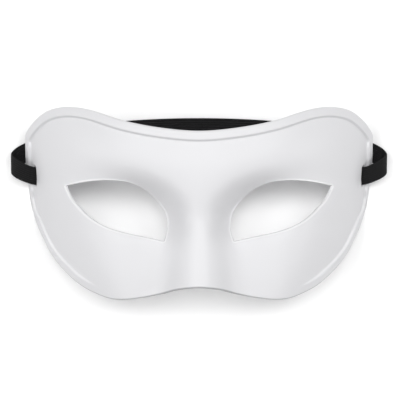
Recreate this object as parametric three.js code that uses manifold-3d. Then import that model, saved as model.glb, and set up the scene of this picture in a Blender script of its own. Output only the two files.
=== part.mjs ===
// Masquerade eye mask: a moulded white half mask with a black elastic strap, lying face up.
// Millimetres. +Z is up, out of the face. +Y runs towards the forehead and +X across the eyes.
// The origin is under the middle of the mask, in the plane that its two side rims rest on.

import * as THREE from 'three';
import { mergeVertices } from 'three/addons/utils/BufferGeometryUtils.js';
import Module from 'manifold-3d';

const wasm = await Module();
wasm.setup();

// Driving sizes of the moulding
const wall = 1.4;
const bandWidth = 4.7;          // raised band along the rim, measured over the skin
const bandRise = 1.2;
const bandFadeStart = 60;       // under the cheeks the band sinks into the skin between these two x
const bandFadeEnd = 48;
const slotLength = 11.4;
const slotWidth = 2.4;
const slotMiddle = [80.8, 11.3, 9.7];
const slotLean = 1.01;          // turn about Y, so that the slot runs square through the wall
const slotTilt = 0.37;          // and about X, so that it follows the skin

// Half width of the head at each y: where the skin comes down to the resting plane
const headHalfWidth = [
  [-60, 69], [-50, 73], [-38, 76.5], [-26, 79], [-16, 80.9], [-10, 80.9], [-4, 82], [4, 83.5],
  [10, 84.4], [14, 85.6], [18, 86.8], [24, 87.7], [36, 88.5], [50, 87.5], [60, 86],
];
// Height of the forehead and face along the middle, before the nose is added
const faceHeight = [
  [-54, 40], [-38, 40], [-22, 41], [-6, 43.6], [10, 45], [24, 45.6], [38, 45.3], [50, 44], [60, 42],
];
// How far the nose stands out of the face along its ridge
const noseRise = [
  [-52, 18.5], [-38, 14.6], [-26, 11], [-14, 8], [-2, 5.4], [10, 3.4], [22, 2.2], [34, 1], [44, 0],
];
const noseSpread = [[-52, 12.5], [-26, 10.5], [-4, 9.3], [14, 19], [34, 12]];
const noseFlatness = 2.7;       // above 2 the ridge is blunter than a bell
const wrapReach = 0.975;        // 1 would make the sides of the mask plumb at the resting plane

// Soft swellings (rise above 0) and hollows of the face, the same on both sides
const reliefs = [
  { x: 30, y: 2, long: 13.5, wide: 6.5, turn: 0.3, rise: -13 },         // eye socket
  { x: 25.5, y: 0.5, long: 9.7, wide: 6, turn: 0.6, rise: -9 },         // its deep inner corner
  { x: 38.5, y: 24, long: 20, wide: 10.5, turn: 0.33, rise: 3.6 },      // brow
  { x: 45.5, y: -28, long: 16, wide: 26.5, turn: -0.4, rise: 11.5 },    // cheek
];

// Outline of the right half, from the middle of the forehead round to the middle under the nose
const halfOutline = [
  [0, 36], [18, 37.4], [35, 40.4], [52.5, 45.4], [61, 46.4], [67.5, 45.8], [73.5, 43.8], [79.5, 39.2],
  [84, 33.6], [85, 31.4], [85.1, 27], [84.8, 11], [81.5, -9.5], [76.5, -19.3], [71.8, -27.1],
  [65, -33.9], [52.5, -42.3], [41.5, -45.5], [28, -44.5], [19, -42.5], [9.5, -38.9], [0, -37.6],
];
// The right eye hole: its upper edge from the outer corner to the inner one, and its lower edge back
const eyeUpper = [
  [64.6, 8.3], [55, 10.6], [46, 11.7], [37.3, 11.3], [32.5, 10.1], [25.4, 5.8], [19, -0.4], [16, -5],
  [15.1, -10], [16.8, -16.9],
];
const eyeLower = [
  [16.8, -16.9], [24.1, -15.2], [36.5, -12.3], [44.7, -9.8], [52.3, -5.9], [58.7, -0.4], [61.6, 2.8],
  [64.6, 8.3],
];

// Strap: a flat elastic band, drawn from inside the right slot to the middle behind the mask
const strapWidth = 10;
const strapThickness = 1.1;
const stopThickness = 3;        // each end is folded over and sewn, so it can't slip out of its slot
const stopLength = 7;
const tiltKept = 16;            // from this far along, the band comes level again
const tiltGone = 30;
const halfStrapRoute = [
  [69.6, 11.2, 14.5], [71.8, 11.2, 12.3], [74.1, 11.2, 9.9], [76.2, 11.3, 8], [78.5, 11.3, 8],
  [80.8, 11.3, 9.6], [82.4, 11.6, 10.6], [84.4, 12.4, 11.6], [87, 13.6, 11.7], [89.6, 14.8, 10.6],
  [91.6, 15.9, 8.4], [92.7, 16.9, 5.8], [92.5, 18, 3.5], [91, 19.5, 1.7], [88, 21.2, 0.8],
  [84.5, 22.8, 0.6], [78, 25.2, 0.6], [68, 28, 0.6], [55, 30.6, 0.6], [40, 32.6, 0.6], [20, 33.9, 0.6],
  [0, 34.3, 0.6],
];

// Smooth value at y through a list of [y, value] pairs
function valueAt(pairs, y) {
  const last = pairs.length - 1;
  const slope = pairs.map((pair, i) => {
    const before = pairs[Math.max(i - 1, 0)];
    const after = pairs[Math.min(i + 1, last)];
    return (after[1] - before[1]) / (after[0] - before[0]);
  });
  const clamped = Math.min(Math.max(y, pairs[0][0]), pairs[last][0]);
  let i = 0;
  while (i < last - 1 && clamped > pairs[i + 1][0]) i += 1;
  const span = pairs[i + 1][0] - pairs[i][0];
  const s = (clamped - pairs[i][0]) / span;
  return (2 * s ** 3 - 3 * s ** 2 + 1) * pairs[i][1] + (s ** 3 - 2 * s ** 2 + s) * span * slope[i]
    + (3 * s ** 2 - 2 * s ** 3) * pairs[i + 1][1] + (s ** 3 - s ** 2) * span * slope[i + 1];
}

const bell = (distance, spread, power = 2) => Math.exp(-0.5 * Math.abs(distance / spread) ** power);

// x and y measured along and beside a line at this angle
const turned = (x, y, angle) => [
  x * Math.cos(angle) + y * Math.sin(angle),
  y * Math.cos(angle) - x * Math.sin(angle),
];

// Height of the outside skin above the resting plane
function skinHeight(x, y) {
  const leastRoot = 0.01;       // beyond the rim the wrap runs on level
  const side = Math.abs(x);
  const rimRoot = Math.sqrt(1 - wrapReach ** 2);
  const across = wrapReach * side / valueAt(headHalfWidth, y);
  const wrap = (Math.sqrt(Math.max(1 - across ** 2, leastRoot ** 2)) - rimRoot) / (1 - rimRoot);
  let z = valueAt(faceHeight, y) * wrap;
  z += valueAt(noseRise, y) * bell(side, valueAt(noseSpread, y), noseFlatness);
  for (const relief of reliefs) {
    for (const outwards of [x, -x]) {
      const [along, beside] = turned(outwards - relief.x, y - relief.y, relief.turn);
      z += relief.rise * bell(along, relief.long) * bell(beside, relief.wide);
    }
  }
  return z;
}

function skinNormal(x, y) {
  const step = 0.2;
  const slopeX = (skinHeight(x + step, y) - skinHeight(x - step, y)) / (2 * step);
  const slopeY = (skinHeight(x, y + step) - skinHeight(x, y - step)) / (2 * step);
  return new THREE.Vector3(-slopeX, -slopeY, 1).normalize();
}

// Point over (x, y), lifted off the skin along its normal
function skinPoint(x, y, lift = 0) {
  return new THREE.Vector3(x, y, skinHeight(x, y)).addScaledVector(skinNormal(x, y), lift);
}

// Closed geometry from rings of points: ring after ring, then a point at each end
function capped(rings, firstPole, lastPole) {
  const count = rings[0].length;
  const positions = [...rings.flat(), firstPole, lastPole].flatMap((point) => point.toArray());
  const faces = [];
  const poleIndex = rings.length * count;
  for (let i = 0; i < count; i += 1) {
    const next = (i + 1) % count;
    for (let ring = 0; ring + 1 < rings.length; ring += 1) {
      const low = ring * count;
      const high = low + count;
      faces.push(low + i, low + next, high + next, low + i, high + next, high + i);
    }
    const top = (rings.length - 1) * count;
    faces.push(poleIndex, next, i, poleIndex + 1, top + i, top + next);
  }
  const geometry = new THREE.BufferGeometry();
  geometry.setAttribute('position', new THREE.Float32BufferAttribute(positions, 3));
  geometry.setIndex(faces);
  return geometry;
}

function toSolid(geometry) {
  const sameCorner = 1e-4;
  const bare = geometry.clone();
  bare.deleteAttribute('normal');
  bare.deleteAttribute('uv');
  const merged = mergeVertices(bare, sameCorner);
  const vertProperties = new Float32Array(merged.attributes.position.array);
  const triVerts = new Uint32Array(merged.index.array);
  return new wasm.Manifold(new wasm.Mesh({ numProp: 3, vertProperties, triVerts }));
}

// Geometry of a cut solid, its shortest edges drawn together into one corner.
// The lower corner stays, so that what is flat at the bottom stays flat.
function toGeometry(solid) {
  const shortest = 0.08;
  const passes = 3;
  const smallestFace = 1e-4;
  const bottom = 1e-3;
  const mesh = solid.getMesh();
  const points = [];
  for (let i = 0; i < mesh.vertProperties.length; i += 3) {
    points.push(new THREE.Vector3(...mesh.vertProperties.slice(i, i + 3)));
  }
  const facesAt = points.map(() => new Set());
  for (let i = 0; i < mesh.triVerts.length; i += 3) {
    const face = [...mesh.triVerts.slice(i, i + 3)];
    face.forEach((corner) => facesAt[corner].add(face));
  }
  const neighbours = (corner) => new Set([...facesAt[corner]].flat().filter((other) => other !== corner));
  const normalOf = (corners) => {
    const [a, b, c] = corners.map((corner) => points[corner]);
    return new THREE.Vector3().crossVectors(b.clone().sub(a), c.clone().sub(a));
  };
  const canMeet = (kept, gone) => {
    const around = neighbours(kept);
    const shared = [...neighbours(gone)].filter((corner) => around.has(corner));
    if (shared.length !== 2) return false;
    return [...facesAt[gone]].filter((face) => !face.includes(kept)).every((face) => {
      const moved = normalOf(face.map((corner) => (corner === gone ? kept : corner)));
      return moved.dot(normalOf(face)) > 0 && moved.length() > smallestFace;
    });
  };
  const meet = (kept, gone) => {
    for (const face of [...facesAt[gone]]) {
      if (face.includes(kept)) {
        face.forEach((corner) => facesAt[corner].delete(face));
      } else {
        face[face.indexOf(gone)] = kept;
        facesAt[kept].add(face);
      }
    }
    facesAt[gone].clear();
  };
  for (let pass = 0; pass < passes; pass += 1) {
    for (let corner = 0; corner < points.length; corner += 1) {
      for (const other of neighbours(corner)) {
        if (facesAt[corner].size === 0) break;
        if (points[corner].distanceTo(points[other]) > shortest) continue;
        const [kept, gone] = points[corner].z < points[other].z ? [corner, other] : [other, corner];
        const bothLow = points[gone].z < bottom === points[kept].z < bottom;
        if (canMeet(kept, gone)) meet(kept, gone);
        else if (bothLow && canMeet(gone, kept)) meet(gone, kept);
        break;
      }
    }
  }
  const faces = [...new Set(facesAt.flatMap((around) => [...around]))];
  const used = [...new Set(faces.flat())];
  const place = new Map(used.map((corner, i) => [corner, i]));
  const geometry = new THREE.BufferGeometry();
  const positions = used.flatMap((corner) => points[corner].toArray());
  geometry.setAttribute('position', new THREE.Float32BufferAttribute(positions, 3));
  geometry.setIndex(faces.flat().map((corner) => place.get(corner)));
  return geometry;
}

// A closed layer of the head between two lifts off the skin, larger all round than the mask.
// Its rows run evenly up the face, and its columns round the head, closer together over the nose.
function skinLayer(lowLift, highLift) {
  const columns = 50;
  const rows = 25;
  const yLow = -52;
  const yHigh = 53;
  const beyondRim = 1.018;
  const sweep = Math.asin(wrapReach * beyondRim);
  const sheet = (liftAt) => {
    const points = [];
    for (let row = 0; row <= rows; row += 1) {
      const y = yLow + (yHigh - yLow) * row / rows;
      for (let column = 0; column <= columns; column += 1) {
        const part = 2 * column / columns - 1;
        const angle = sweep * part * (0.72 + 0.28 * part ** 2);
        const x = valueAt(headHalfWidth, y) * Math.sin(angle) / wrapReach;
        points.push(skinPoint(x, y, liftAt(x, y)));
      }
    }
    return points;
  };
  const high = sheet(highLift);
  const low = sheet(lowLift);
  const wide = columns + 1;
  const faces = [];
  const quad = (a, b, c, d) => faces.push(a, b, c, a, c, d);
  for (let row = 0; row < rows; row += 1) {
    for (let column = 0; column < columns; column += 1) {
      const a = row * wide + column;
      const b = a + 1;
      const c = b + wide;
      const d = a + wide;
      const under = high.length;
      if (column < columns / 2) {
        quad(a, b, c, d);
        quad(under + c, under + b, under + a, under + d);
      } else {
        quad(b, c, d, a);
        quad(under + d, under + c, under + b, under + a);
      }
    }
  }
  const wallAlong = (a, b) => quad(a, a + high.length, b + high.length, b);
  for (let column = 0; column < columns; column += 1) {
    wallAlong(column, column + 1);
    wallAlong(rows * wide + column + 1, rows * wide + column);
  }
  for (let row = 0; row < rows; row += 1) {
    wallAlong((row + 1) * wide, row * wide);
    wallAlong(row * wide + columns, (row + 1) * wide + columns);
  }
  const geometry = new THREE.BufferGeometry();
  const positions = [...high, ...low].flatMap((point) => point.toArray());
  geometry.setAttribute('position', new THREE.Float32BufferAttribute(positions, 3));
  geometry.setIndex(faces);
  return toSolid(geometry);
}

// A cutter whose side stands square to the skin all along a loop of [x, y] points
function skinPlug(loop, reach, lowPole, highPole) {
  const ringAt = (lift) => loop.map(([x, y]) => skinPoint(x, y, lift));
  return toSolid(capped([ringAt(-reach), ringAt(reach)], lowPole, highPole));
}

const mirrored = (loop) => loop.map(([x, y]) => [-x, y]).reverse();

// A smooth closed loop through the points, cut into count even steps
function smoothLoop(points, count) {
  const corners = points.map(([x, y]) => new THREE.Vector3(x, y, 0));
  const curve = new THREE.CatmullRomCurve3(corners, true, 'centripetal');
  return curve.getSpacedPoints(count).slice(0, -1).map((point) => [point.x, point.y]);
}

// The eye hole: two smooth arcs that meet in a corner at each end, anticlockwise seen from above
function eyeLoop(count) {
  const arcs = [eyeUpper, eyeLower].map((points) => new THREE.CatmullRomCurve3(
    points.map(([x, y]) => new THREE.Vector3(x, y, 0)), false, 'centripetal'));
  const total = arcs[0].getLength() + arcs[1].getLength();
  return arcs.flatMap((arc) => {
    const steps = Math.round(count * arc.getLength() / total);
    return arc.getSpacedPoints(steps).slice(0, -1).map((point) => [point.x, point.y]);
  });
}

// The whole outline, anticlockwise seen from above
function maskOutline() {
  const steps = 104;
  return smoothLoop([...halfOutline.slice(0, -1), ...mirrored(halfOutline).slice(0, -1)].reverse(), steps);
}

// The loop moved in over the skin by the width of the raised band
function bandInnerEdge(loop) {
  return loop.map(([x, y], i) => {
    const [beforeX, beforeY] = loop[(i + loop.length - 1) % loop.length];
    const [afterX, afterY] = loop[(i + 1) % loop.length];
    const along = skinPoint(afterX, afterY).sub(skinPoint(beforeX, beforeY)).normalize();
    const inward = new THREE.Vector3().crossVectors(skinNormal(x, y), along);
    const edge = skinPoint(x, y).addScaledVector(inward, bandWidth);
    return [edge.x, edge.y];
  });
}

// A slot that the flat band passes through, its long side along Y
function slotCutter(side) {
  const [x, y, z] = slotMiddle;
  const throughWall = 7;
  const box = new THREE.BoxGeometry(slotWidth, slotLength, throughWall);
  return toSolid(box.rotateY(side * slotLean).rotateX(slotTilt).translate(side * x, y, z));
}

// Its two points stand far off, past the hollow that the skin has inside the eye hole
function eyeCutter(loop) {
  const reach = 4;
  const farBelow = -40;
  const farAbove = 110;
  const x = loop.reduce((sum, point) => sum + point[0], 0) / loop.length;
  const y = loop.reduce((sum, point) => sum + point[1], 0) / loop.length;
  return skinPlug(loop, reach, new THREE.Vector3(x, y, farBelow), new THREE.Vector3(x, y, farAbove));
}

// The moulding: one layer of the head, trimmed to the outline, with the band round its rim
function makeMaskShell() {
  const outline = maskOutline();
  const trimReach = 5;
  const insideReach = 6;
  const farBelow = new THREE.Vector3(0, 0, -70);
  const farAbove = new THREE.Vector3(0, 0, 150);
  const trim = skinPlug(outline, trimReach, farBelow, farAbove);
  const insideBand = skinPlug(bandInnerEdge(outline), insideReach, farBelow, farAbove);

  const sunk = -0.3;            // where the band has faded out its top lies this far under the skin
  const shown = (x, y) => (y > 0 ? 1 : THREE.MathUtils.smoothstep(Math.abs(x), bandFadeEnd, bandFadeStart));
  const bandTop = (x, y) => sunk + (bandRise - sunk) * shown(x, y);
  const skin = skinLayer(() => -wall, () => 0);
  const band = skinLayer(() => -wall / 2, bandTop).subtract(insideBand);
  let shell = skin.add(band).intersect(trim);

  const eyeSteps = 46;
  const eye = eyeLoop(eyeSteps);
  for (const loop of [eye, mirrored(eye)]) shell = shell.subtract(eyeCutter(loop));
  for (const side of [-1, 1]) shell = shell.subtract(slotCutter(side));

  // The lowest stretch of each side rim is flat where the mask lies on it
  const room = 200;
  const above = new THREE.BoxGeometry(2 * room, 2 * room, room).translate(0, 0, room / 2);
  return toGeometry(shell.intersect(toSolid(above)));
}

// The strap: a flat band swept along its route, its width along Y but for the tilt of the slots
function makeElasticStrap() {
  const otherHalf = halfStrapRoute.slice(0, -1).reverse().map(([x, y, z]) => [-x, y, z]);
  const route = new THREE.CatmullRomCurve3(
    [...halfStrapRoute, ...otherHalf].map(([x, y, z]) => new THREE.Vector3(x, y, z)), false, 'centripetal');
  const length = route.getLength();
  const middle = length / 2;

  // Distances along the first half, with a short slope where the folded end stops
  const slope = 0.3;
  const step = 2.2;
  const steps = Math.round((middle - stopLength) / step);
  const stations = [0, stopLength - slope, stopLength + slope];
  for (let i = 1; i <= steps; i += 1) stations.push(stopLength + (middle - stopLength) * i / steps);
  const allStations = [...stations, ...stations.slice(0, -1).reverse().map((along) => length - along)];

  const rings = allStations.map((along) => {
    const point = route.getPointAt(along / length);
    const tangent = route.getTangentAt(along / length);
    const toTip = Math.min(along, length - along);
    const tilt = slotTilt * (1 - THREE.MathUtils.smoothstep(toTip, tiltKept, tiltGone));
    const across = new THREE.Vector3(0, Math.cos(tilt), Math.sin(tilt));
    const facing = new THREE.Vector3().crossVectors(across, tangent).normalize();
    const halfThickness = (toTip < stopLength ? stopThickness : strapThickness) / 2;
    const corner = (sideways, outwards) => point.clone()
      .addScaledVector(facing, outwards * halfThickness)
      .addScaledVector(across, sideways * strapWidth / 2);
    return [corner(1, -1), corner(-1, -1), corner(-1, 1), corner(1, 1)];
  });
  const middleOf = (ring) => {
    const sum = ring.reduce((total, point) => total.add(point), new THREE.Vector3());
    return sum.divideScalar(ring.length);
  };
  return capped(rings, middleOf(rings[0]), middleOf(rings[rings.length - 1]));
}

const whitePlastic = new THREE.MeshStandardMaterial({ color: 0xf2f2f2, roughness: 0.42, metalness: 0 });
const blackElastic = new THREE.MeshStandardMaterial({ color: 0x17171a, roughness: 0.9, metalness: 0 });

const mask = new THREE.Group();

const shellMesh = new THREE.Mesh(makeMaskShell(), whitePlastic);
shellMesh.name = 'mask_shell';
mask.add(shellMesh);

const strapMesh = new THREE.Mesh(makeElasticStrap(), blackElastic);
strapMesh.name = 'elastic_strap';
mask.add(strapMesh);

export default mask;
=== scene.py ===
# Masquerade eye mask: one white moulding with a black elastic strap, lying face up.
# Sizes are in millimetres and are turned to metres when a mesh or a curve is made.

import bpy, math
import numpy as np
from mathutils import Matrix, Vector
from mathutils.geometry import delaunay_2d_cdt


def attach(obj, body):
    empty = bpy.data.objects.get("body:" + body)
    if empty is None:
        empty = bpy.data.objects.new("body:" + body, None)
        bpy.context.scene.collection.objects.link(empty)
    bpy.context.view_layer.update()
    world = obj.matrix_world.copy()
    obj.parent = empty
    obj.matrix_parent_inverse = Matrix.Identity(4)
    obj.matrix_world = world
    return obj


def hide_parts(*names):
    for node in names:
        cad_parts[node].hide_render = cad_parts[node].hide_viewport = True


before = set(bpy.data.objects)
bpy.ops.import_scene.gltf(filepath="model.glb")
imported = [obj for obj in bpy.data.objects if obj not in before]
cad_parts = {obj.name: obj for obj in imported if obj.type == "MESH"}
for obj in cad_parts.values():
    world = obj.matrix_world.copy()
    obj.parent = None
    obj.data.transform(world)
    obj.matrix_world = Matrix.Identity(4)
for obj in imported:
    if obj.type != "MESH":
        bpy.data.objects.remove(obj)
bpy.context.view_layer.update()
mm = 0.001
print("frame loaded:", sorted(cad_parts))

# The camera looks almost straight down on the mask, leaning a little from the forehead's side
shot = {
    "target": (0.5, -1.7, 0.0),
    "distance": 900.0,
    "lean": 6.0,           # degrees
    "lens": 162.0,
    "sensor": 36.0,
    "nearest": 0.05,       # metres, what is closer to the camera isn't drawn
}


def addCamera():
    lean = math.radians(shot["lean"])
    back = Vector((0, math.sin(lean), math.cos(lean))) * shot["distance"]
    camera = bpy.data.objects.new("camera", bpy.data.cameras.new("camera"))
    camera.location = (Vector(shot["target"]) + back) * mm
    camera.rotation_euler = (-lean, 0, 0)
    camera.data.lens = shot["lens"]
    camera.data.sensor_width = shot["sensor"]
    camera.data.clip_start = shot["nearest"]
    bpy.context.scene.collection.objects.link(camera)
    bpy.context.scene.camera = camera


addCamera()


# Sums on points and curves

def unit(v):
    return v / np.linalg.norm(v, axis=-1, keepdims=True)


def smoothStep(value, low, high):
    t = np.clip((value - low) / (high - low), 0, 1)
    return t * t * (3 - 2 * t)


def bell(distance, spread, power=2.0):
    return np.exp(-0.5 * np.abs(distance / spread) ** power)


def lengthsAlong(line):
    return np.concatenate([[0], np.cumsum(np.linalg.norm(np.diff(line, axis=0), axis=1))])


def valueAt(pairs, y):
    # smooth value at y through [y, value] pairs
    at, value = np.array(pairs, float).T
    slope = np.empty(len(at))
    slope[1:-1] = (value[2:] - value[:-2]) / (at[2:] - at[:-2])
    slope[0] = (value[1] - value[0]) / (at[1] - at[0])
    slope[-1] = (value[-1] - value[-2]) / (at[-1] - at[-2])
    y = np.clip(y, at[0], at[-1])
    i = np.clip(np.searchsorted(at, y) - 1, 0, len(at) - 2)
    span = at[i + 1] - at[i]
    s = (y - at[i]) / span
    return ((2 * s**3 - 3 * s**2 + 1) * value[i] + (s**3 - 2 * s**2 + s) * span * slope[i]
            + (3 * s**2 - 2 * s**3) * value[i + 1] + (s**3 - s**2) * span * slope[i + 1])


def curveThrough(points, closed, fine=24):
    # centripetal curve through the points, with fine steps between each two
    p = np.array(points, float)
    p = np.vstack([p[-1], p, p[0], p[1]]) if closed else np.vstack([2 * p[0] - p[1], p, 2 * p[-1] - p[-2]])
    t = np.arange(fine)[:, None] / fine
    out = []
    for a, b, c, d in zip(p, p[1:], p[2:], p[3:]):
        ab, bc, cd = (math.sqrt(np.linalg.norm(w - v)) for v, w in ((a, b), (b, c), (c, d)))
        leave = ((b - a) / ab - (c - a) / (ab + bc) + (c - b) / bc) * bc
        reach = ((c - b) / bc - (d - b) / (bc + cd) + (d - c) / cd) * bc
        bend = 3 * (c - b) - 2 * leave - reach
        twist = 2 * (b - c) + leave + reach
        out.append(b + leave * t + bend * t**2 + twist * t**3)
    if not closed:
        out.append(p[-2][None])
    return np.vstack(out)


def evenly(line, count, closed=False):
    # the line again, with count points at even distances
    line = np.vstack([line, line[:1]]) if closed else line
    along = lengthsAlong(line)
    at = np.linspace(0, along[-1], count + 1)[:-1] if closed else np.linspace(0, along[-1], count)
    return np.stack([np.interp(at, along, line[:, k]) for k in range(line.shape[1])], axis=1)


def mirrored(points):
    return np.array(points, float) * ([-1] + [1] * (len(points[0]) - 1))


# Node trees are put together with these

def pick(sockets, key):
    # a socket by its place, its name or its identifier
    if isinstance(key, int):
        return sockets[key]
    return next(s for s in sockets if key == s.identifier or (key == s.name and s.enabled))


def addNode(tree, kind, inputs=(), out=0, **settings):
    # a node whose inputs are sockets or plain values, in order or by name; gives one of its outputs
    node = tree.nodes.new(kind)
    for key, value in settings.items():
        setattr(node, key, value)
    for key, value in (inputs.items() if isinstance(inputs, dict) else enumerate(inputs)):
        socket = pick(node.inputs, key)
        if isinstance(value, bpy.types.NodeSocket):
            tree.links.new(value, socket)
        else:
            socket.default_value = value
    return pick(node.outputs, out) if len(node.outputs) else node


def calcFor(tree):
    # sums and vector sums written as calc("ADD", a, b)
    def calc(operation, *values):
        return addNode(tree, "ShaderNodeMath", values, operation=operation)

    def vector(operation, *values):
        return addNode(tree, "ShaderNodeVectorMath", values, operation=operation)
    return calc, vector


def newMaterial(name):
    material = bpy.data.materials.new(name)
    material.use_nodes = True
    material.node_tree.nodes.clear()
    return material, material.node_tree


def newGeometryTree(name, sockets):
    tree = bpy.data.node_groups.new(name, "GeometryNodeTree")
    for label, kind in sockets.items():
        tree.interface.new_socket(label, in_out="INPUT", socket_type="NodeSocket" + kind)
    tree.interface.new_socket("Geometry", in_out="OUTPUT", socket_type="NodeSocketGeometry")
    return tree, tree.nodes.new("NodeGroupInput").outputs


def finishTree(tree, geometry, material):
    realized = addNode(tree, "GeometryNodeRealizeInstances", [geometry])
    painted = addNode(tree, "GeometryNodeSetMaterial", {"Geometry": realized, "Material": material})
    tree.links.new(painted, tree.nodes.new("NodeGroupOutput").inputs[0])


def makeByNodes(name, base, tree, values):
    # runs the tree on the base and keeps what comes out as a plain mesh
    work = bpy.data.objects.new(name + "_base", base)
    bpy.context.scene.collection.objects.link(work)
    modifier = work.modifiers.new("make", "NODES")
    modifier.node_group = tree
    for item in tree.interface.items_tree:
        if item.in_out == "INPUT" and item.name in values:
            modifier[item.identifier] = values[item.name]
    ready = work.evaluated_get(bpy.context.evaluated_depsgraph_get())
    mesh = bpy.data.meshes.new_from_object(ready)
    mesh.name = name
    bpy.data.objects.remove(work)
    return addPiece(name, mesh)


def addPiece(name, mesh):
    piece = bpy.data.objects.new(name, mesh)
    bpy.context.scene.collection.objects.link(piece)
    return piece


# Strap: out of one slot, over the side rim, back under the upper rim and in at the other slot

strap = {
    "width": 10.0,
    "thickness": 1.1,
    "ribs": 9,
    "ribDepth": 0.26,
    "ribBluntness": 0.7,   # 1 would make the ribs half waves
    "edgeSquareness": 14.0,      # powers of the rounding at both edges and at both ends
    "endSquareness": 4.0,
    "stopLength": 7.0,     # each end is folded over for this length and sewn
    "stopGap": 1.5,        # between the middles of the two layers there
    "stopEase": (-0.5, 2.5),     # past the sewing, where the outer layer comes back to the middle
    "tipShort": 0.4,       # the folded tip ends this much before the sewing does
    "bendPoints": 9,
    "halfSteps": 600,      # of the middle line, from a tip to the middle of the band
    "step": 0.42,          # along the strap
    "pointsPerRib": 6,
    "seam": 0.01,          # points closer than this are joined, where both faces meet
    "tilt": 0.37,          # in the slots, about X; the band comes level again between these two lengths
    "tiltKept": 16.0,
    "tiltGone": 30.0,
    "exit": (80.8, 11.3, 9.6),
    "halfRoute": [
        (69.6, 11.2, 14.5), (71.8, 11.2, 12.3), (74.1, 11.2, 9.9), (76.2, 11.3, 8), (78.5, 11.3, 8),
        (80.8, 11.3, 9.6), (82.4, 11.6, 10.6), (84.4, 12.4, 11.6), (87, 13.6, 11.7), (89.6, 14.8, 10.6),
        (91.6, 15.9, 8.4), (92.7, 16.9, 5.8), (92.5, 18, 3.5), (91, 19.5, 1.7), (88, 21.2, 0.8),
        (84.5, 22.8, 0.6), (78, 25.2, 0.6), (68, 28, 0.6), (55, 30.6, 0.6), (40, 32.6, 0.6),
        (20, 33.9, 0.6), (0, 34.3, 0.6),
    ],
}


def facingOf(line, along):
    # the side of the flat band that looks in at the mask
    tilt = strap["tilt"] * (1 - smoothStep(along, strap["tiltKept"], strap["tiltGone"]))
    across = np.stack([np.zeros_like(tilt), np.cos(tilt), np.sin(tilt)], axis=1)
    return unit(np.cross(across, unit(np.gradient(line, axis=0))))


def strapLines():
    # the middle line from tip to tip, and the whole band with each end turned back on itself
    half = strap["halfRoute"]
    whole = curveThrough(half + mirrored(half)[-2::-1].tolist(), closed=False)
    line = evenly(whole, 2 * strap["halfSteps"] + 1)[:strap["halfSteps"] + 1]
    along = lengthsAlong(line)
    facing = facingOf(line, along)
    stop, radius = strap["stopLength"], strap["stopGap"] / 2
    aside = radius * (1 - smoothStep(along - stop, *strap["stopEase"]))
    turn = int(np.searchsorted(along, radius))
    cut = int(np.searchsorted(along, stop - strap["tipShort"]))
    outer = (line - facing * aside[:, None])[turn:]
    inner = (line + facing * radius)[turn:cut][::-1]
    end = unit(line[0] - line[turn])
    angles = np.linspace(0, math.pi, strap["bendPoints"] + 2)[1:-1, None]
    bend = line[turn] + radius * (np.cos(angles) * facing[turn] + np.sin(angles) * end)
    folded = np.vstack([inner, bend, outer])
    return tuple(np.vstack([part, mirrored(part)[-2::-1]]) for part in (line, folded))


strapMiddle, strapBand = strapLines()
strapLength = float(lengthsAlong(strapBand)[-1])
strapBand = evenly(strapBand, int(strapLength / strap["step"]) + 1)
print("strap:", round(strapLength, 1), "mm of elastic,", len(strapBand), "steps")


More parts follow.
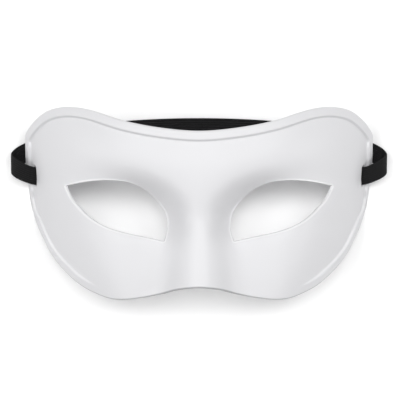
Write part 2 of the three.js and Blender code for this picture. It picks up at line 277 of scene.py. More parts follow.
def bandTree():
    # sweeps a flat ribbed band along the route, its width along Y but for the tilt near both ends
    tree, entry = newGeometryTree("ribbed band", {
        "Route": "Geometry", "Length": "Float", "Width": "Float", "Thickness": "Float", "Ribs": "Int",
        "Rib Depth": "Float", "Steps Along": "Int", "Points Per Rib": "Int", "Tilt": "Float",
        "Tilt Kept": "Float", "Tilt Gone": "Float", "Material": "Material"})
    calc, vector = calcFor(tree)
    rows = calc("ADD", calc("MULTIPLY", entry["Ribs"], entry["Points Per Rib"]), 1.0)
    grid = addNode(tree, "GeometryNodeMeshGrid", {
        "Size X": entry["Length"], "Size Y": 2.0, "Vertices X": entry["Steps Along"], "Vertices Y": rows})
    place = addNode(tree, "GeometryNodeInputPosition")
    u = addNode(tree, "ShaderNodeSeparateXYZ", [place], out="X")
    v = addNode(tree, "ShaderNodeSeparateXYZ", [place], out="Y")
    along = calc("ADD", u, calc("MULTIPLY", entry["Length"], 0.5))
    halfWidth = calc("MULTIPLY", v, calc("MULTIPLY", entry["Width"], 0.5))
    sample = tree.nodes.new("GeometryNodeSampleCurve")
    sample.mode = "LENGTH"
    tree.links.new(entry["Route"], sample.inputs["Curves"])
    tree.links.new(along, pick(sample.inputs, "Length"))
    toEnd = calc("MINIMUM", along, calc("SUBTRACT", entry["Length"], along))
    level = addNode(tree, "ShaderNodeMapRange", {
        "Value": toEnd, "From Min": entry["Tilt Kept"], "From Max": entry["Tilt Gone"]},
        interpolation_type="SMOOTHSTEP")
    tilt = calc("MULTIPLY", entry["Tilt"], calc("SUBTRACT", 1.0, level))
    widthWay = addNode(tree, "ShaderNodeCombineXYZ", {"Y": calc("COSINE", tilt), "Z": calc("SINE", tilt)})
    across = addNode(tree, "ShaderNodeVectorMath", {
        "Vector": widthWay, "Scale": halfWidth}, operation="SCALE")
    facing = vector("NORMALIZE", vector("CROSS_PRODUCT", widthWay, sample.outputs["Tangent"]))

    # full thickness on the ribs, rounded down to nothing at both edges and both ends
    turns = calc("MULTIPLY", calc("ADD", v, 1.0), calc("MULTIPLY", entry["Ribs"], math.pi / 2))
    ribShape = calc("POWER", calc("ABSOLUTE", calc("SINE", turns)), strap["ribBluntness"])
    groove = calc("MULTIPLY", entry["Rib Depth"], calc("SUBTRACT", 1.0, ribShape))
    sideRound = calc("SUBTRACT", 1.0, calc("POWER", calc("ABSOLUTE", v), strap["edgeSquareness"]))
    endPart = calc("SUBTRACT", 1.0, calc("MINIMUM", calc("DIVIDE", toEnd, entry["Thickness"]), 1.0))
    endRound = calc("SUBTRACT", 1.0, calc("POWER", endPart, strap["endSquareness"]))
    rounding = calc("SQRT", calc("MAXIMUM", calc("MULTIPLY", sideRound, endRound), 0.0))
    lift = calc("MULTIPLY", calc("SUBTRACT", calc("MULTIPLY", entry["Thickness"], 0.5), groove), rounding)

    middle = vector("ADD", sample.outputs["Position"], across)
    flat = addNode(tree, "ShaderNodeCombineXYZ", {"X": along, "Y": halfWidth})
    marked = addNode(tree, "GeometryNodeStoreNamedAttribute", {
        "Geometry": grid, "Name": "weave", "Value": flat}, data_type="FLOAT2", domain="CORNER")
    join = tree.nodes.new("GeometryNodeJoinGeometry")
    for side in (1.0, -1.0):
        outwards = addNode(tree, "ShaderNodeVectorMath", {
            "Vector": facing, "Scale": calc("MULTIPLY", lift, side)}, operation="SCALE")
        face = addNode(tree, "GeometryNodeSetPosition", {
            "Geometry": marked, "Position": vector("ADD", middle, outwards)})
        if side < 0:
            face = addNode(tree, "GeometryNodeFlipFaces", {"Mesh": face})
        tree.links.new(face, join.inputs[0])
    closed = addNode(tree, "GeometryNodeMergeByDistance", {
        "Geometry": join.outputs[0], "Distance": strap["seam"] * mm})
    finishTree(tree, addNode(tree, "GeometryNodeSetShadeSmooth", [closed]), entry["Material"])
    return tree


def curveOf(line, name):
    curve = bpy.data.curves.new(name, "CURVE")
    curve.dimensions = "3D"
    spline = curve.splines.new("POLY")
    spline.points.add(len(line) - 1)
    spline.points.foreach_set("co", np.hstack([line * mm, np.ones((len(line), 1))]).ravel())
    return curve


# Black elastic: knitted ribs along the band, with the fine cross threads between them, their crests painted
# lighter than the grooves as painted highlight and painted shade

elastic = {
    "colour": (0.003, 0.003, 0.003, 1),
    "paintedRibCrestColour": (0.017, 0.017, 0.018, 1),
    "crossThread": 0.75,   # mm along the band
    "threadSlant": 0.9,
    "threadHeight": (0.6, 0.25),     # what a rib adds, and everywhere
    "threadPaintedLight": (0.45, 0.55),      # painted lighter on a thread crest: what a thread adds, and between threads
    "fuzzScale": 2600.0,
    "fuzzHeight": 0.35,
    "bump": (0.7, 0.12),   # strength, and height in mm
    "roughness": (0.72, 0.2),        # least, and what the fuzz adds
    "sheen": 0.02,
    "specular": 0.12,
}


def elasticMaterial():
    material, tree = newMaterial("black elastic")
    calc, vector = calcFor(tree)
    uv = addNode(tree, "ShaderNodeUVMap", uv_map="weave")
    along = addNode(tree, "ShaderNodeSeparateXYZ", [uv], out="X")
    across = addNode(tree, "ShaderNodeSeparateXYZ", [uv], out="Y")
    ribTurn = math.pi * strap["ribs"] / (strap["width"] * mm)
    threadTurn = 2 * math.pi / (elastic["crossThread"] * mm)
    fromEdge = calc("ADD", across, strap["width"] * mm / 2)
    rib = calc("ABSOLUTE", calc("SINE", calc("MULTIPLY", fromEdge, ribTurn)))
    slant = calc("MULTIPLY", calc("SINE", calc("MULTIPLY", across, ribTurn * 2)), elastic["threadSlant"])
    thread = calc("MULTIPLY_ADD", calc("SINE", calc("MULTIPLY_ADD", along, threadTurn, slant)), 0.5, 0.5)
    fuzz = addNode(tree, "ShaderNodeTexNoise", {
        "Vector": uv, "Scale": elastic["fuzzScale"], "Detail": 3.0, "Roughness": 0.6})
    threadHeight = calc("MULTIPLY", thread, calc("MULTIPLY_ADD", rib, *elastic["threadHeight"]))
    height = calc("MULTIPLY_ADD", fuzz, elastic["fuzzHeight"], threadHeight)
    strength, depth = elastic["bump"]
    bump = addNode(tree, "ShaderNodeBump", {"Strength": strength, "Distance": depth * mm, "Height": height})
    # crests of ribs and threads are painted lighter than the grooves: painted highlight and painted shade
    # that follow the relief
    paintedLight = calc("MULTIPLY", calc("MULTIPLY_ADD", thread, *elastic["threadPaintedLight"]), rib)
    colour = addNode(tree, "ShaderNodeMix", {
        "Factor_Float": paintedLight, "A_Color": elastic["colour"], "B_Color": elastic["paintedRibCrestColour"]},
        out="Result_Color", data_type="RGBA")
    least, more = elastic["roughness"]
    shader = addNode(tree, "ShaderNodeBsdfPrincipled", {
        "Base Color": colour, "Roughness": calc("MULTIPLY_ADD", fuzz, more, least), "Normal": bump,
        "Sheen Weight": elastic["sheen"], "Sheen Roughness": 0.5, "Specular IOR Level": elastic["specular"]})
    addNode(tree, "ShaderNodeOutputMaterial", {"Surface": shader})
    return material


elasticFinish = elasticMaterial()


def makeStrap():
    piece = makeByNodes("woven_strap", curveOf(strapBand, "strap route"), bandTree(), {
        "Length": float(lengthsAlong(strapBand)[-1]) * mm,
        "Width": strap["width"] * mm,
        "Thickness": strap["thickness"] * mm,
        "Ribs": strap["ribs"],
        "Rib Depth": strap["ribDepth"] * mm,
        "Steps Along": len(strapBand),
        "Points Per Rib": strap["pointsPerRib"],
        "Tilt": strap["tilt"],
        "Tilt Kept": (strap["tiltKept"] + strap["stopLength"]) * mm,
        "Tilt Gone": (strap["tiltGone"] + strap["stopLength"]) * mm,
        "Material": elasticFinish,
    })
    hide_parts("elastic_strap")
    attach(piece, "root")
    return piece


wovenStrap = makeStrap()
print("strap:", len(wovenStrap.data.polygons), "faces")


# Mask: one skin over a head, with a wall of its own thickness

mask = {
    "wall": 1.4,
    "bandWidth": 4.7,             # raised band along the rim, measured over the skin
    "bandRise": 1.2,
    "bandStep": 1.2,              # width of the soft step on its inner side
    "bandFade": (48, 60),         # under the cheeks it sinks into the skin between these x
    "rimRound": (1.1, 0.6),       # how far in from each edge its rounding reaches, and how deep it goes
    "underRound": (0.3, 0.3),     # on the inside
    "slotRound": (0.25, 0.25),
    "lowerEyeRound": (1.3, 0.6),
    "upperEyeRound": (0.4, 0.3),
    "eyeLip": 0.25,               # the upper edge of each eye hole curls up by this
    "eyeLipSpan": (0.1, 1.2),     # and comes down again between these distances
    "upperPart": (-0.3, 0.5),     # an eye edge counts as upper from here on, see plasticAbove
    "slotLength": 11.4,
    "slotWidth": 2.4,
    "slotCorner": 1.0,
    "slotCornerPoints": 7,
    "slotMiddle": (80.8, 11.3, 9.7),
    "slotLean": 1.01,
    "slotTilt": 0.37,
    "grain": 0.85,                # distance between the points of the mesh
    "eyeGrain": 0.7,
    "slotGrain": 0.6,
    "headHalfWidth": [
        (-60, 69), (-50, 73), (-38, 76.5), (-26, 79), (-16, 80.9), (-10, 80.9), (-4, 82), (4, 83.5),
        (10, 84.4), (14, 85.6), (18, 86.8), (24, 87.7), (36, 88.5), (50, 87.5), (60, 86)],
    "faceHeight": [
        (-54, 40), (-38, 40), (-22, 41), (-6, 43.6), (10, 45), (24, 45.6), (38, 45.3), (50, 44),
        (60, 42)],
    "noseRise": [
        (-52, 18.5), (-38, 14.6), (-26, 11), (-14, 8), (-2, 5.4), (10, 3.4), (22, 2.2), (34, 1),
        (44, 0)],
    "noseSpread": [(-52, 12.5), (-26, 10.5), (-4, 9.3), (14, 19), (34, 12)],
    "noseFlatness": 2.7,          # above 2 the ridge is blunter than a bell
    "wrapReach": 0.975,           # 1 would make the sides plumb at the resting plane
    "reliefs": [                  # x, y, spread along, spread beside, turn, rise
        (30, 2, 13.5, 6.5, 0.3, -13),          # eye socket
        (25.5, 0.5, 9.7, 6, 0.6, -9),          # its deep inner corner
        (38.5, 24, 20, 10.5, 0.33, 3.6),       # brow
        (45.5, -28, 16, 26.5, -0.4, 11.5)],    # cheek
    "halfOutline": [
        (0, 36), (18, 37.4), (35, 40.4), (52.5, 45.4), (61, 46.4), (67.5, 45.8), (73.5, 43.8),
        (79.5, 39.2), (84, 33.6), (85, 31.4), (85.1, 27), (84.8, 11), (81.5, -9.5), (76.5, -19.3),
        (71.8, -27.1), (65, -33.9), (52.5, -42.3), (41.5, -45.5), (28, -44.5), (19, -42.5),
        (9.5, -38.9), (0, -37.6)],
    "eyeUpper": [                 # from the outer corner to the inner one
        (64.6, 8.3), (55, 10.6), (46, 11.7), (37.3, 11.3), (32.5, 10.1), (25.4, 5.8), (19, -0.4),
        (16, -5), (15.1, -10), (16.8, -16.9)],
    "eyeLower": [                 # and back
        (16.8, -16.9), (24.1, -15.2), (36.5, -12.3), (44.7, -9.8), (52.3, -5.9), (58.7, -0.4),
        (61.6, 2.8), (64.6, 8.3)],
}
leastSquare = 1e-4    # beyond the rim the wrap runs on level


def skinHeight(x, y):
    side = np.abs(x)
    rimRoot = math.sqrt(1 - mask["wrapReach"] ** 2)
    across = mask["wrapReach"] * side / valueAt(mask["headHalfWidth"], y)
    wrap = (np.sqrt(np.maximum(1 - across**2, leastSquare)) - rimRoot) / (1 - rimRoot)
    z = valueAt(mask["faceHeight"], y) * wrap
    z = z + valueAt(mask["noseRise"], y) * bell(side, valueAt(mask["noseSpread"], y), mask["noseFlatness"])
    for reliefX, reliefY, long, wide, turn, rise in mask["reliefs"]:
        for outwards in (x - reliefX, -x - reliefX):
            along = outwards * math.cos(turn) + (y - reliefY) * math.sin(turn)
            beside = (y - reliefY) * math.cos(turn) - outwards * math.sin(turn)
            z = z + rise * bell(along, long) * bell(beside, wide)
    return z


def skinNormal(x, y, step=0.1):
    slopeX = (skinHeight(x + step, y) - skinHeight(x - step, y)) / (2 * step)
    slopeY = (skinHeight(x, y + step) - skinHeight(x, y - step)) / (2 * step)
    return unit(np.stack([-slopeX, -slopeY, np.ones_like(slopeX)], axis=-1))


def skinPoint(plan, lift=0.0):
    x, y = plan[:, 0], plan[:, 1]
    lift = np.broadcast_to(lift, x.shape)
    return np.stack([x, y, skinHeight(x, y)], axis=1) + skinNormal(x, y) * lift[:, None]


def relaxed(loop, reach):
    # takes the small waves out of a closed loop, over about this many millimetres
    spacing = np.linalg.norm(loop - np.roll(loop, 1, axis=0), axis=1).mean()
    for _ in range(int(2 * (reach / spacing) ** 2)):
        loop = 0.5 * loop + 0.25 * (np.roll(loop, 1, axis=0) + np.roll(loop, -1, axis=0))
    return loop


def loopOnSkin(lines, spacing, reach, cornerRoom, fine=2000):
    # a closed loop along the lines, its points evenly apart over the skin and closer where it turns
    dense = relaxed(evenly(np.vstack(lines), fine, closed=True), reach)
    solid = skinPoint(dense)
    heading = unit(np.roll(solid, -1, axis=0) - solid)
    turn = np.arccos(np.clip((heading * np.roll(heading, 1, axis=0)).sum(1), -1, 1))
    stride = np.linalg.norm(np.roll(solid, -1, axis=0) - solid, axis=1)
    along = np.concatenate([[0], np.cumsum(stride + cornerRoom * (turn + np.roll(turn, -1)) / 2)])
    at = np.linspace(0, along[-1], int(along[-1] / spacing) + 1)[:-1]
    closedPlan = np.vstack([dense, dense[:1]])
    return np.stack([np.interp(at, along, closedPlan[:, k]) for k in (0, 1)], axis=1)


longestStride = 0.3   # the rings are moved out in strides of this length at most
leastRoom = 0.8       # share of their room along the edge that points keep in a corner
roomMargin = 0.25
mostDrawn = 0.8       # of the way to the middle between its neighbours


def ringsBeside(loop, distances, side):
    # the loop moved over the skin to each distance, to the left of its direction if side is 1
    place = skinPoint(loop)
    span = np.linalg.norm(np.roll(place, -1, axis=0) - np.roll(place, 1, axis=0), axis=1)
    rings, gone = [], 0.0
    for distance in distances:
        parts = max(1, math.ceil((distance - gone) / longestStride))
        for _ in range(parts):
            along = np.roll(place, -1, axis=0) - np.roll(place, 1, axis=0)
            heading = side * unit(np.cross(skinNormal(place[:, 0], place[:, 1]), along))
            place = place + heading * (distance - gone) / parts
            # points that crowd together in a corner are drawn apart again
            ahead, behind = np.roll(place, -1, axis=0), np.roll(place, 1, axis=0)
            room = np.linalg.norm(ahead - behind, axis=1) / (leastRoom * span)
            crowding = np.clip(1 + roomMargin - room, 0, mostDrawn)
            place = place + ((ahead + behind) / 2 - place) * crowding[:, None]
            normal = skinNormal(place[:, 0], place[:, 1])
            off = place[:, 2] - skinHeight(place[:, 0], place[:, 1])
            place = place - normal * (off * normal[:, 2])[:, None]
        gone = distance
        rings.append(place[:, :2].copy())
    return rings


def slotLoop(side, rounds=8):
    # a long hole with round corners, square through the wall, moved onto the skin in some rounds
    long, wide, corner = mask["slotLength"] / 2, mask["slotWidth"] / 2, mask["slotCorner"]
    turn = np.linspace(0, math.pi / 2, mask["slotCornerPoints"])
    quarter = np.stack([wide - corner + corner * np.cos(turn), long - corner + corner * np.sin(turn)], axis=1)
    loop = np.vstack([quarter, (quarter * (-1, 1))[::-1], quarter * (-1, -1), (quarter * (1, -1))[::-1]])
    count = int(lengthsAlong(np.vstack([loop, loop[:1]]))[-1] / mask["slotGrain"])
    loop = evenly(loop, count, closed=True)
    lean, tilt = mask["slotLean"], mask["slotTilt"]
    tilted = np.array([[1, 0, 0], [0, math.cos(tilt), -math.sin(tilt)], [0, math.sin(tilt), math.cos(tilt)]])
    down = tilted @ (math.cos(lean), 0, -math.sin(lean))
    through = tilted @ (math.sin(lean), 0, math.cos(lean))
    place = np.array(mask["slotMiddle"]) + loop[:, :1] * down + loop[:, 1:] * tilted[:, 1]
    for _ in range(rounds):
        gap = place[:, 2] - skinHeight(place[:, 0], place[:, 1])
        place = place - through * gap[:, None] * 0.5
    plan = place[:, :2]
    return plan if side > 0 else mirrored(plan)[::-1]


flatHalf = 100.0      # half width of the unrolled skin
flatHeight = 50.0     # more than it reaches up or down
fieldGap = 0.62       # least distance between the field and a ring, in grains
sineLimit = 0.9999    # points beyond the rim are kept beside it
samePoint = 1e-7      # points closer than this count as one


def unrolled(plan):
    # the skin laid out flat enough for an even mesh
    reach = math.asin(mask["wrapReach"])
    turn = mask["wrapReach"] * plan[:, 0] / valueAt(mask["headHalfWidth"], plan[:, 1])
    return np.stack([flatHalf * np.arcsin(np.clip(turn, -sineLimit, sineLimit)) / reach, plan[:, 1]], axis=1)


def rolledUp(flat):
    reach = math.asin(mask["wrapReach"])
    wide = valueAt(mask["headHalfWidth"], flat[:, 1])
    return np.stack([wide * np.sin(flat[:, 0] / flatHalf * reach) / mask["wrapReach"], flat[:, 1]], axis=1)


def inside(points, loop):
    # which points lie inside a closed loop
    hits = np.zeros(len(points), int)
    for a, b in zip(loop, np.roll(loop, -1, axis=0)):
        crosses = (a[1] > points[:, 1]) != (b[1] > points[:, 1])
        level = a[0] + (points[:, 1] - a[1]) * (b[0] - a[0]) / (b[1] - a[1] if b[1] != a[1] else 1)
        hits += crosses & (points[:, 0] < level)
    return hits % 2 == 1


def farFrom(points, loop, least):
    near = np.full(len(points), np.inf)
    for corner in loop:
        near = np.minimum(near, ((points - corner) ** 2).sum(1))
    return near > least**2


def roundingDrop(distance, reach, depth):
    # how far the rounding of an edge lies below the skin, at this distance from the edge
    part = np.clip(1 - distance / reach, 0, 1)
    return depth * (1 - np.sqrt(1 - part**2))


def plasticAbove(loop, side):
    # 1 where the plastic lies towards the forehead from this edge, -1 where it lies towards the nose
    return unit(ringsBeside(loop, [1.0], side)[0] - loop)[:, 1]


def bandShare(plan):
    # 1 along the forehead and the sides, 0 under the cheeks
    return np.where(plan[:, 1] > 0, 1, smoothStep(np.abs(plan[:, 0]), *mask["bandFade"]))


# Lifts and painted highlight and shade of the rings: each of these takes the distance from the edge, the ring
# and plasticAbove

def rimLift(distance, ring, above):
    end, step = mask["bandWidth"], mask["bandStep"]
    band = bandShare(ring) * (1 - smoothStep(distance, end - step / 2, end + step / 2))
    return mask["bandRise"] * band - roundingDrop(distance, *mask["rimRound"])


def eyeEdgeLift(distance, ring, above):
    # the upper edge has a small curl, the lower one is rolled over
    upper = smoothStep(above, *mask["upperPart"])
    low, high = mask["lowerEyeRound"], mask["upperEyeRound"]
    reach, depth = (low[k] + (high[k] - low[k]) * upper for k in (0, 1))
    curl = mask["eyeLip"] * upper * (1 - smoothStep(distance, *mask["eyeLipSpan"]))
    return curl - roundingDrop(distance, reach, depth)


def slotEdgeLift(distance, ring, above):
    return np.full(len(ring), -roundingDrop(distance, *mask["slotRound"]))


# Painted highlight and painted shade in fine lines along the edges: where the value is above 0 the plastic is
# painted paler, below 0 it is painted darker

paintedEdgeLines = {
    "eyeFade": (0.2, 1.0),        # the painted highlight along an upper eye edge fades out between these distances
    "rollStart": (0.25, 0.6),     # the painted highlight on the crest of a lower edge comes in and fades out
    "rollEnd": (0.9, 1.4),
    "rollPaintedHighlight": 0.9,
    "lipPaintedShade": 0.1,               # beside it the very edge gets a little painted shade
    "lipEnd": (0.2, 0.5),
    "stepHalfWidth": 0.3,         # the painted line along the inner step of the band
    "stepPaintedShadeAndHighlight": (-0.3, 0.75),    # painted shade along the forehead, where the step faces away from the light, and painted highlight down the sides, where it faces the light
    "stepTurn": (-0.35, -0.15),
    "rimEnd": (0.35, 0.9),        # the rim gets painted shade up to these distances
    "rimPart": (0.1, 0.5),        # where it looks down, away from the light
}


def rimPaintedShading(distance, ring, above):
    # the band's step gets painted shade where it faces down the face and a painted highlight down the sides;
    # the rim gets painted shade where its rounded edge looks down
    stepShade, stepHighlight = paintedEdgeLines["stepPaintedShadeAndHighlight"]
    line = bell(distance - mask["bandWidth"], paintedEdgeLines["stepHalfWidth"]) * bandShare(ring)
    stepPaintedShading = line * (stepShade + (stepHighlight - stepShade) * smoothStep(above, *paintedEdgeLines["stepTurn"]))
    rimPaintedShade = smoothStep(above, *paintedEdgeLines["rimPart"])
    return stepPaintedShading - rimPaintedShade * (1 - smoothStep(distance, *paintedEdgeLines["rimEnd"]))


def eyeEdgePaintedShading(distance, ring, above):
    # the upper eye edge gets a painted highlight; the lower one a painted highlight on its rolled crest
    # (roll) and painted shade at the very edge
    upper = smoothStep(above, *mask["upperPart"])
    upperPaintedHighlight = 1 - smoothStep(distance, *paintedEdgeLines["eyeFade"])
    roll = smoothStep(distance, *paintedEdgeLines["rollStart"]) * (1 - smoothStep(distance, *paintedEdgeLines["rollEnd"]))
    lipShadeShare = 1 - smoothStep(distance, *paintedEdgeLines["lipEnd"])
    return upper * upperPaintedHighlight + (1 - upper) * (paintedEdgeLines["rollPaintedHighlight"] * roll - paintedEdgeLines["lipPaintedShade"] * lipShadeShare)


def noPaintedShading(distance, ring, above):
    return np.zeros(len(ring))


ringDistances = {         # of the rings of points beside each edge
    "rim": [0, 0.03, 0.1, 0.22, 0.4, 0.65, 0.9, 1.2, 1.7, 2.3, 3.0, 3.6,
            *(mask["bandWidth"] + mask["bandStep"] * np.linspace(-0.5, 0.5, 9))],   # nine down the step
    "eye": [0, 0.03, 0.08, 0.16, 0.28, 0.42, 0.6, 0.8, 1.0, 1.3, 1.7, 2.3, 3.0],
    "slot": [0, 0.03, 0.1, 0.25, 0.4],
}


def findOpenings():
    # the loop of each edge, the side of it that is plastic, its rings' distances, and their lifts and painted
    # highlight and shade
    half = mask["halfOutline"]
    whole = curveThrough((half + mirrored(half)[-2:0:-1].tolist())[::-1], closed=True)
    outline = loopOnSkin([whole], mask["grain"], reach=0.7, cornerRoom=0.6)
    arcs = [curveThrough(mask[arc], closed=False) for arc in ("eyeUpper", "eyeLower")]
    eye = loopOnSkin(arcs, mask["eyeGrain"], reach=0.3, cornerRoom=2.0)
    slot = slotLoop(1)
    return [
        (outline, 1, ringDistances["rim"], rimLift, rimPaintedShading),
        (eye, -1, ringDistances["eye"], eyeEdgeLift, eyeEdgePaintedShading),
        (mirrored(eye)[::-1], -1, ringDistances["eye"], eyeEdgeLift, eyeEdgePaintedShading),
        (slot, -1, ringDistances["slot"], slotEdgeLift, noPaintedShading),
        (mirrored(slot)[::-1], -1, ringDistances["slot"], slotEdgeLift, noPaintedShading),
    ]


def ringParts(openings):
    # the rings of all openings: plan, lift of both skins, painted highlight and shade, and quads, then the
    # first and the last rings
    plans, lifts, unders, paintedShading, quads, edges, inners, start = [], [], [], [], [], [], [], 0
    for loop, side, distances, liftAt, paintedShadingAt in openings:
        count = len(loop)
        above = plasticAbove(loop, side)
        beside = [loop, *ringsBeside(loop, distances[1:], side)]
        for distance, ring in zip(distances, beside):
            plans.append(ring)
            lifts.append(liftAt(distance, ring, above))
            unders.append(np.full(count, roundingDrop(distance, *mask["underRound"]) - mask["wall"]))
            paintedShading.append(paintedShadingAt(distance, ring, above))
        here = np.arange(count)
        after = (here + 1) % count
        for k in range(len(beside) - 1):
            a, b = start + k * count, start + (k + 1) * count
            quad = np.stack([a + here, a + after, b + after, b + here], axis=1)
            quads.append(quad if side == 1 else quad[:, ::-1])
        edges.append((side, start + here, start + after))
        inners.append(start + (len(beside) - 1) * count + here)
        start += count * len(beside)
    lifts, unders, paintedShading = (np.concatenate(part) for part in (lifts, unders, paintedShading))
    return np.vstack(plans), lifts, unders, paintedShading, np.vstack(quads), edges, inners


def fieldBetween(ringPlans, inners):
    # an even field of points between the last rings, and the triangles that join them all
    grain = mask["grain"]
    flatRings = unrolled(ringPlans)
    loops = [flatRings[inner] for inner in inners]
    xs = np.arange(-flatHalf - 1, flatHalf + 1, grain)
    ys = np.arange(-flatHeight, flatHeight, grain * math.sqrt(3) / 2)
    field = np.array([(x + (row % 2) * grain / 2, y) for row, y in enumerate(ys) for x in xs])
    keep = inside(field, loops[0])
    for loop in loops[1:]:
        keep &= ~inside(field, loop)
    field = field[keep]
    for loop in loops:
        field = field[farFrom(field, loop, grain * fieldGap)]

    lines, at = [], 0
    for loop in loops:
        n = len(loop)
        lines += [(at + k, at + (k + 1) % n) for k in range(n)]
        at += n
    points = [Vector(p) for p in np.vstack([*loops, field])]
    verts, _, tris, origin, _, _ = delaunay_2d_cdt(points, lines, [], 1, samePoint)
    flat = np.array([tuple(v) for v in verts])
    tris = np.array(tris)
    centre = flat[tris].mean(axis=1)
    good = inside(centre, loops[0])
    for loop in loops[1:]:
        good &= ~inside(centre, loop)
    tris = tris[good]
    a, b, c = (flat[tris[:, k]] for k in range(3))
    turn = (b[:, 0] - a[:, 0]) * (c[:, 1] - a[:, 1]) - (b[:, 1] - a[:, 1]) * (c[:, 0] - a[:, 0])
    tris[turn < 0] = tris[turn < 0][:, ::-1]
    place = np.concatenate([*inners, len(ringPlans) + np.arange(len(field))])
    source = np.array([made[0] for made in origin])
    return rolledUp(field), place[source[tris]]


def makeMask():
    ringPlans, lifts, unders, paintedShading, quads, edges, inners = ringParts(findOpenings())
    print("mask:", len(edges), "edges with", len(ringPlans), "points beside them")
    field, tris = fieldBetween(ringPlans, inners)
    print("mask:", len(field), "points between them")

    plan = np.vstack([ringPlans, field])
    count = len(plan)
    top = skinPoint(plan, np.concatenate([lifts, np.zeros(len(field))]))
    under = skinPoint(plan, np.concatenate([unders, np.full(len(field), -mask["wall"])]))
    walls = [quads, quads[:, ::-1] + count]
    for side, here, after in edges:
        quad = np.stack([here, here + count, after + count, after], axis=1)
        walls.append(quad if side == 1 else quad[:, ::-1])
    faces = np.vstack(walls).tolist() + np.vstack([tris, tris[:, ::-1] + count]).tolist()

    points = np.vstack([top, under])
    points[:, 2] = np.maximum(points[:, 2], 0)    # flat where it lies on its side rims
    mesh = bpy.data.meshes.new("moulded_mask")
    mesh.from_pydata((points * mm).tolist(), [], faces)
    mesh.validate()
    mesh.polygons.foreach_set("use_smooth", [True] * len(mesh.polygons))
    innerSide = mesh.attributes.new("innerSide", "FLOAT", "POINT")
    innerSide.data.foreach_set("value", np.repeat([0.0, 1.0], count))
    # painted highlight and painted shade along the edges, read by the plastic's colour
    paintedEdgeShading = mesh.attributes.new("paintedEdgeShading", "FLOAT", "POINT")
    paintedEdgeShading.data.foreach_set("value", np.tile(np.concatenate([paintedShading, np.zeros(len(field))]), 2))
    return addPiece("moulded_mask", mesh)


# White plastic: satin, with the faint grain of the mould and soft changes of gloss, and painted highlight and
# painted shade along its edges

plastic = {
    "colour": (0.650, 0.649, 0.664, 1),
    "cloudColour": (0.641, 0.640, 0.655, 1),
    # colours of the painted highlight and the painted shade along the edges
    "paintedHighlightColour": (0.765, 0.765, 0.775, 1),
    "paintedShadeColour": (0.34, 0.34, 0.35, 1),
    "roughness": 0.46,
    "insideRoughness": 0.5,
    "cloudScale": 28.0,
    "cloudGloss": 0.08,
    "grainScale": 1500.0,
    "grainHeight": 0.35,   # beside the wider waves of the skin
    "waveScale": 260.0,
    "bump": (0.06, 0.1),   # strength, and height in mm
    "bend": 1.47,          # of light
}


def plasticMaterial():
    material, tree = newMaterial("white plastic")
    calc, vector = calcFor(tree)
    place = addNode(tree, "ShaderNodeTexCoord", out="Object")

    def noise(scale, detail):
        return addNode(tree, "ShaderNodeTexNoise", {
            "Vector": place, "Scale": plastic[scale], "Detail": detail})

    cloud = noise("cloudScale", 2.0)
    grain = noise("grainScale", 2.0)
    waves = noise("waveScale", 1.0)
    colour = addNode(tree, "ShaderNodeMix", {
        "Factor_Float": cloud, "A_Color": plastic["colour"], "B_Color": plastic["cloudColour"]},
        out="Result_Color", data_type="RGBA")
    # the edges are painted paler (painted highlight) or darker (painted shade) from the attribute made with
    # the mesh
    paintedLight = addNode(tree, "ShaderNodeAttribute", out="Fac", attribute_name="paintedEdgeShading")
    for share, end in ((paintedLight, "paintedHighlightColour"), (calc("MULTIPLY", paintedLight, -1.0), "paintedShadeColour")):
        colour = addNode(tree, "ShaderNodeMix", {
            "Factor_Float": share, "A_Color": colour, "B_Color": plastic[end]},
            out="Result_Color", data_type="RGBA")
    innerSide = addNode(tree, "ShaderNodeAttribute", out="Fac", attribute_name="innerSide")
    outer, inner = plastic["roughness"], plastic["insideRoughness"]
    base = calc("MULTIPLY_ADD", innerSide, inner - outer, outer)
    gloss = plastic["cloudGloss"]
    roughness = calc("ADD", base, calc("MULTIPLY_ADD", cloud, gloss, -gloss / 2))
    strength, depth = plastic["bump"]
    bump = addNode(tree, "ShaderNodeBump", {
        "Strength": strength, "Distance": depth * mm,
        "Height": calc("MULTIPLY_ADD", grain, plastic["grainHeight"], waves)})
    shader = addNode(tree, "ShaderNodeBsdfPrincipled", {
        "Base Color": colour, "Roughness": roughness, "Normal": bump, "IOR": plastic["bend"]})
    addNode(tree, "ShaderNodeOutputMaterial", {"Surface": shader})
    return material


mouldedMask = makeMask()
mouldedMask.data.materials.append(plasticMaterial())
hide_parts("mask_shell")
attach(mouldedMask, "root")
print("mask:", len(mouldedMask.data.polygons), "faces")


# Floor and light

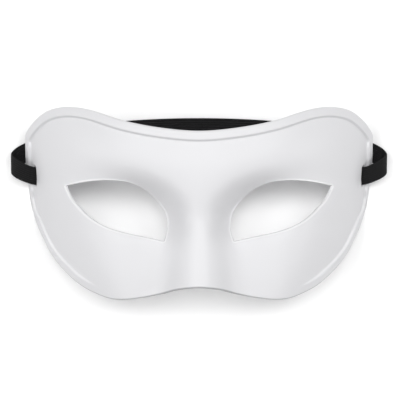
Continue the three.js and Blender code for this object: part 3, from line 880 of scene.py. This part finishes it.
studio = {
    "floorColour": (0.97, 0.97, 0.97, 1),
    "floorRoughness": 0.9,
    "floorReach": 0.9,     # metres to each side
    "floorDrop": 5e-5,     # metres under the mask
    "sky": 0.09,
    "distance": 2.4,       # metres, of each lamp
    "lamps": {             # share of the floor's light, lean towards +X and +Y (degrees), size (metres)
        "key": (0.33, 0, 16.5, 0.8),
        "keyLeft": (0.17, -25, 22, 0.8),
        "keyRight": (0.19, 25, 22, 0.8),
        "left": (0.115, -60, 0, 0.9),
        "middleLeft": (0.065, -30, 0, 0.8),
        "right": (0.115, 60, 0, 0.9),
        "frontLeft": (0.055, -25, -28, 0.9),
        "frontRight": (0.065, 25, -28, 0.9),
        "front": (0.08, 0, -60, 0.9),
    },
}


def addLamp(name, share, leanX, leanY, size):
    toLamp = Vector((math.tan(math.radians(leanX)), math.tan(math.radians(leanY)), 1)).normalized()
    light = bpy.data.lights.new(name, "AREA")
    light.shape = "DISK"
    light.size = size
    light.energy = share * math.pi**2 * studio["distance"] ** 2 / toLamp.z
    lamp = bpy.data.objects.new(name, light)
    lamp.location = toLamp * studio["distance"]
    lamp.rotation_euler = toLamp.to_track_quat("Z", "Y").to_euler()
    bpy.context.scene.collection.objects.link(lamp)


def addStudio():
    mesh = bpy.data.meshes.new("floor")
    reach, drop = studio["floorReach"], studio["floorDrop"]
    corners = [(-reach, -reach, -drop), (reach, -reach, -drop), (reach, reach, -drop), (-reach, reach, -drop)]
    mesh.from_pydata(corners, [], [(0, 1, 2, 3)])
    floor = bpy.data.objects.new("floor", mesh)
    material = bpy.data.materials.new("pale floor")
    material.use_nodes = True
    shader = material.node_tree.nodes["Principled BSDF"]
    shader.inputs["Base Color"].default_value = studio["floorColour"]
    shader.inputs["Roughness"].default_value = studio["floorRoughness"]
    shader.inputs["Specular IOR Level"].default_value = 0.0
    mesh.materials.append(material)
    bpy.context.scene.collection.objects.link(floor)

    world = bpy.data.worlds.new("sky")
    world.use_nodes = True
    world.node_tree.nodes["Background"].inputs["Color"].default_value = (1, 1, 1, 1)
    # the camera sees the sky as bright as the floor
    tree = world.node_tree
    seen = addNode(tree, "ShaderNodeLightPath", out="Is Camera Ray")
    strength = addNode(tree, "ShaderNodeMapRange", {"Value": seen, "To Min": studio["sky"], "To Max": 1.0})
    tree.links.new(strength, tree.nodes["Background"].inputs["Strength"])
    bpy.context.scene.world = world
    for name, lamp in studio["lamps"].items():
        addLamp(name, *lamp)


addStudio()
bpy.context.scene.view_settings.view_transform = "Standard"
print("studio ready")
